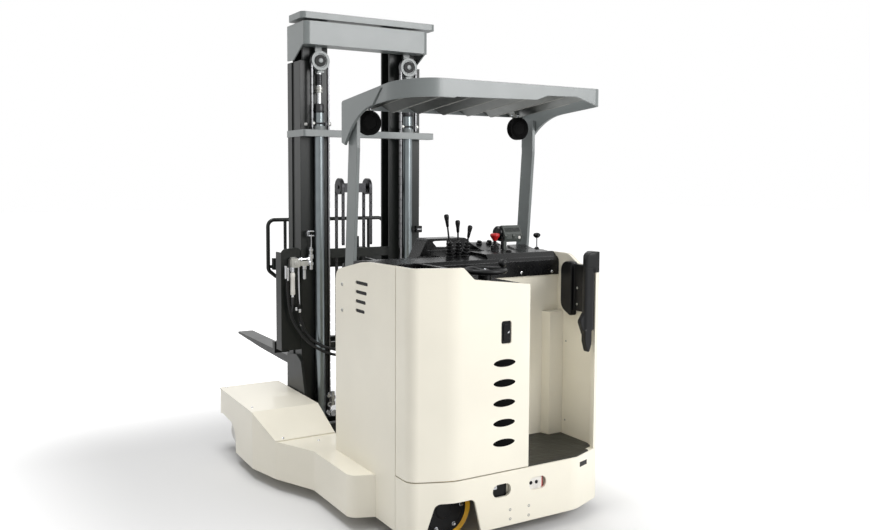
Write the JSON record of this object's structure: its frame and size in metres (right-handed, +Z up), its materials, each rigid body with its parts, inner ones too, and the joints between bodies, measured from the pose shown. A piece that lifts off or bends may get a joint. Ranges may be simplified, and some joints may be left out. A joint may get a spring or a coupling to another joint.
{
  "type": "electric reach truck",
  "caption": "Stand-on electric reach truck with forks on a moving three-stage mast, straddle legs, steerable wheels, overhead guard and a hinged rear door.",
  "frame": {"origin": "on the floor under the middle of the truck's overall length and width", "axes": "+X forward towards the fork tips, +Y to the truck's left, +Z up"},
  "size_m": [3.42, 1.728, 2.76],
  "materials": {
    "cream_paint": "satin powder coat",
    "grey_paint": "satin powder coat",
    "black_paint": "semi-gloss paint",
    "black_plastic": "moulded, lightly grained",
    "grey_plastic": "moulded",
    "red_plastic": "glossy moulded",
    "black_vinyl": "soft foam skin",
    "mat_rubber": "ribbed",
    "amber_polyurethane": "smooth polyurethane",
    "pale_polyurethane": "smooth polyurethane",
    "hub_iron": "painted black",
    "dark_steel": "oiled",
    "plated_rod": "hard chrome",
    "hose_rubber": "matt",
    "battery_case": "enamel",
    "motor_case": "cast, painted",
    "lamp_black": "finned"
  },
  "bodies": {
    "chassis": {"base_frame": "cream_paint", "left_body_panel": "cream_paint", "right_body_panel": "cream_paint", "front_body_panel": "cream_paint", "compartment_wall": "cream_paint", "battery": "battery_case", "floor_mat": "mat_rubber", "console": "black_plastic", "control_levers": "black_plastic", "stop_button": "red_plastic", "display_unit": "grey_plastic", "back_pad": "black_vinyl", "left_leg": "cream_paint", "right_leg": "cream_paint", "wheel_covers": "cream_paint", "guard_roof": "grey_paint", "guard_slats": "grey_paint", "guard_posts": "grey_paint", "work_lamps": "lamp_black", "drive_motor": "motor_case"},
    "door": {"rear_door": "cream_paint", "door_latch": "black_plastic"},
    "steering": {"steering_wheel": "black_plastic"},
    "drive_unit": {"drive_unit": "hub_iron"},
    "drive_wheel": {"drive_hub": "hub_iron", "drive_tyre": "amber_polyurethane"},
    "left_knuckle": {"left_knuckle": "hub_iron"},
    "left_wheel": {"left_load_hub": "hub_iron", "left_load_tyre": "pale_polyurethane"},
    "right_knuckle": {"right_knuckle": "hub_iron"},
    "right_wheel": {"right_load_hub": "hub_iron", "right_load_tyre": "pale_polyurethane"},
    "caster": {"caster_fork": "hub_iron"},
    "caster_wheel": {"caster_wheel": "amber_polyurethane"},
    "outer_mast": {"outer_mast_rails": "black_paint", "mast_cross_beam": "grey_paint", "reach_carriage": "black_paint", "lift_cylinders": "black_paint", "hose_plate": "black_paint", "valve_block": "cream_paint", "supply_hose": "hose_rubber", "return_hose": "hose_rubber"},
    "middle_mast": {"middle_mast_rails": "black_paint", "mast_top_beam": "grey_paint", "lift_rods": "plated_rod", "lift_sheaves": "grey_paint", "mast_chains": "dark_steel"},
    "inner_mast": {"inner_mast_rails": "black_paint", "inner_mast_plate": "grey_paint", "free_lift_cylinder": "black_paint"},
    "crosshead": {"free_lift_head": "dark_steel", "free_lift_chains": "dark_steel"},
    "fork_carriage": {"fork_carriage": "black_paint", "forks": "black_paint", "load_backrest": "black_paint"}
  },
  "joints": [
    {"name": "door_hinge", "type": "hinge", "parent": "chassis", "child": "door", "pos_m": [-1.501, 0.57, 0.83], "axis": [0, 0, -1], "range_deg": [0, 100]},
    {"name": "steering_wheel_turn", "type": "hinge", "parent": "chassis", "child": "steering", "pos_m": [-1.46, 0.04, 1.285], "axis": [0, 0, 1], "continuous": true},
    {"name": "drive_steer", "type": "hinge", "parent": "chassis", "child": "drive_unit", "pos_m": [-1.506, 0.352, 0.155], "axis": [0, 0, 1], "range_deg": [-90, 90]},
    {"name": "drive_spin", "type": "hinge", "parent": "drive_unit", "child": "drive_wheel", "pos_m": [-1.536, 0.352, 0.155], "axis": [1, 0, 0], "continuous": true},
    {"name": "left_steer", "type": "hinge", "parent": "chassis", "child": "left_knuckle", "pos_m": [0.208, 0.662, 0.15], "axis": [0, 0, 1], "range_deg": [-90, 90]},
    {"name": "left_spin", "type": "hinge", "parent": "left_knuckle", "child": "left_wheel", "pos_m": [0.208, 0.662, 0.15], "axis": [1, 0, 0], "continuous": true},
    {"name": "right_steer", "type": "hinge", "parent": "chassis", "child": "right_knuckle", "pos_m": [0.208, -0.662, 0.15], "axis": [0, 0, 1], "range_deg": [-90, 90]},
    {"name": "right_spin", "type": "hinge", "parent": "right_knuckle", "child": "right_wheel", "pos_m": [0.208, -0.662, 0.15], "axis": [1, 0, 0], "continuous": true},
    {"name": "caster_swivel", "type": "hinge", "parent": "chassis", "child": "caster", "pos_m": [-1.495, -0.32, 0.2], "axis": [0, 0, 1], "continuous": true},
    {"name": "caster_spin", "type": "hinge", "parent": "caster", "child": "caster_wheel", "pos_m": [-1.45, -0.32, 0.075], "axis": [0, 1, 0], "continuous": true},
    {"name": "mast_reach", "type": "slide", "parent": "chassis", "child": "outer_mast", "axis": [1, 0, 0], "range_m": [-0.6, 0]},
    {"name": "middle_lift", "type": "slide", "parent": "outer_mast", "child": "middle_mast", "axis": [0, 0, 1], "range_m": [0, 1.7]},
    {"name": "inner_lift", "type": "slide", "parent": "middle_mast", "child": "inner_mast", "axis": [0, 0, 1], "range_m": [0, 1.7]},
    {"name": "carriage_lift", "type": "slide", "parent": "inner_mast", "child": "fork_carriage", "axis": [0, 0, 1], "range_m": [-0.44, 1.08]},
    {"name": "crosshead_lift", "type": "slide", "parent": "inner_mast", "child": "crosshead", "axis": [0, 0, 1], "range_m": [-0.22, 0.54]}
  ],
  "couplings": [
    {"joint": "inner_lift", "follows": "middle_lift", "ratio": 1},
    {"joint": "crosshead_lift", "follows": "carriage_lift", "ratio": 0.5}
  ]
}
